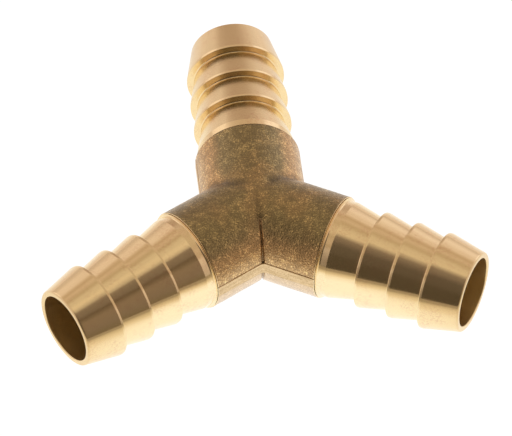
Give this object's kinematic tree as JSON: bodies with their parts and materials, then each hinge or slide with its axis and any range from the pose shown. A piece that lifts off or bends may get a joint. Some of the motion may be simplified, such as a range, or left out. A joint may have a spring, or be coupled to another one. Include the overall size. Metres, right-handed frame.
{
  "type": "barbed Y hose connector",
  "caption": "Brass barbed Y connector: a forged centre body with equal turned hose tails that joins or splits low-pressure hoses of one size.",
  "frame": {"origin": "the point where the three bore axes cross, in the middle of the forged body", "axes": "+Y along the rear hose tail, +Z square to the plane of the three tails, +X to the right; the other tails point 120 degrees either side of +Y"},
  "size_m": [0.0628, 0.0546, 0.0148],
  "materials": {
    "forged_brass": "as hot-forged: dull, finely grained brown brass, with a lighter trimmed seam strip",
    "turned_brass": "satin, turned, with fine marks around each tail"
  },
  "bodies": {
    "root": {"forged_body": "forged_brass", "hose_tail_rear": "turned_brass", "hose_tail_left": "turned_brass", "hose_tail_right": "turned_brass"}
  },
  "joints": []
}
